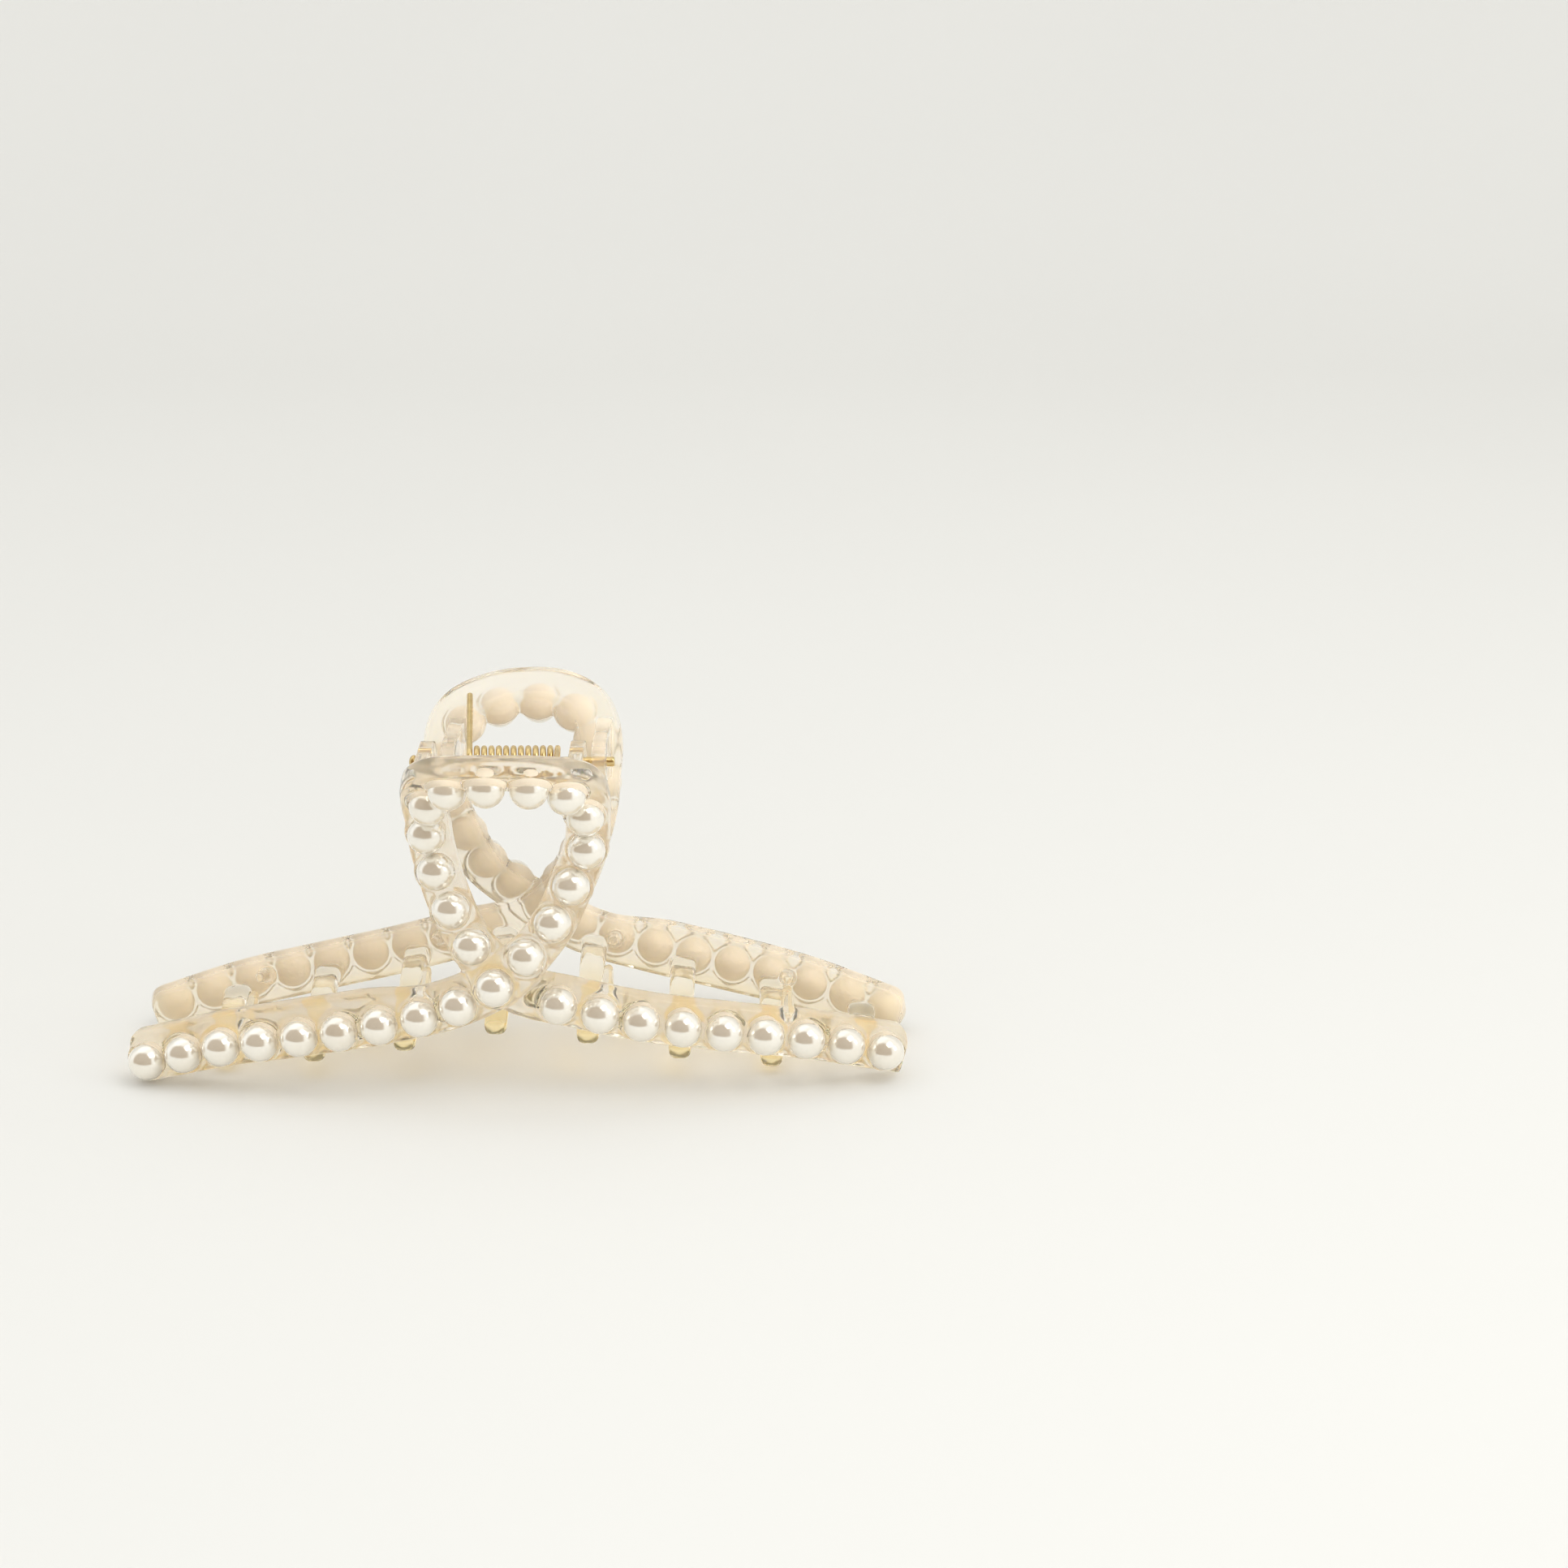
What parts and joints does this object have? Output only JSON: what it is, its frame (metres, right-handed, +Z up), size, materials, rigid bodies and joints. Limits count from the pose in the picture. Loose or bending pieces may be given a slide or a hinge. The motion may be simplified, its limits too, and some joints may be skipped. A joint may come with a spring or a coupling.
{
  "type": "hair claw clip",
  "caption": "Hair claw clip whose two clear jaws are bands crossed into a loop, set with pearls, hinged on a pin with a torsion spring.",
  "frame": {"origin": "on the surface that the clip stands on, under the middle of the hinge pin", "axes": "+X along the hinge pin, to the right seen from the front; +Y from the front jaw to the rear jaw; +Z up"},
  "size_m": [0.1262, 0.0492, 0.0594],
  "materials": {
    "clear_acrylic": "polished clear acrylic with a peach tint",
    "pearl": "ivory pearlescent coating",
    "gold_metal": "pale gold plating, polished"
  },
  "bodies": {
    "front_half": {"front_jaw": "clear_acrylic", "front_loop_pearl_01": "pearl", "front_loop_pearl_02": "pearl", "front_loop_pearl_03": "pearl", "front_loop_pearl_04": "pearl", "front_loop_pearl_05": "pearl", "front_loop_pearl_06": "pearl", "front_loop_pearl_07": "pearl", "front_loop_pearl_08": "pearl", "front_loop_pearl_09": "pearl", "front_loop_pearl_10": "pearl", "front_loop_pearl_11": "pearl", "front_loop_pearl_12": "pearl", "front_loop_pearl_13": "pearl", "front_loop_pearl_14": "pearl", "front_loop_pearl_15": "pearl", "front_over_arm_pearls_01": "pearl", "front_over_arm_pearls_02": "pearl", "front_over_arm_pearls_03": "pearl", "front_over_arm_pearls_04": "pearl", "front_over_arm_end_pearl": "pearl", "front_under_arm_pearls_01": "pearl", "front_under_arm_pearls_02": "pearl", "front_under_arm_pearls_03": "pearl", "front_under_arm_pearls_04": "pearl", "front_under_arm_end_pearl": "pearl", "hinge_pin": "gold_metal", "torsion_spring": "gold_metal"},
    "rear_half": {"rear_jaw": "clear_acrylic", "rear_loop_pearl_01": "pearl", "rear_loop_pearl_02": "pearl", "rear_loop_pearl_03": "pearl", "rear_loop_pearl_04": "pearl", "rear_loop_pearl_05": "pearl", "rear_loop_pearl_06": "pearl", "rear_loop_pearl_07": "pearl", "rear_loop_pearl_08": "pearl", "rear_loop_pearl_09": "pearl", "rear_loop_pearl_10": "pearl", "rear_loop_pearl_11": "pearl", "rear_loop_pearl_12": "pearl", "rear_loop_pearl_13": "pearl", "rear_loop_pearl_14": "pearl", "rear_loop_pearl_15": "pearl", "rear_over_arm_pearls_01": "pearl", "rear_over_arm_pearls_02": "pearl", "rear_over_arm_pearls_03": "pearl", "rear_over_arm_pearls_04": "pearl", "rear_over_arm_end_pearl": "pearl", "rear_under_arm_pearls_01": "pearl", "rear_under_arm_pearls_02": "pearl", "rear_under_arm_pearls_03": "pearl", "rear_under_arm_pearls_04": "pearl", "rear_under_arm_end_pearl": "pearl"}
  },
  "joints": [
    {"name": "jaw_hinge", "type": "hinge", "parent": "front_half", "child": "rear_half", "pos_m": [0, 0, 0.0505], "axis": [1, 0, 0], "range_deg": [0, 65], "stiffness_Nm_per_rad": 0.12, "springref_deg": -45.84, "deforming": ["torsion_spring"]}
  ]
}
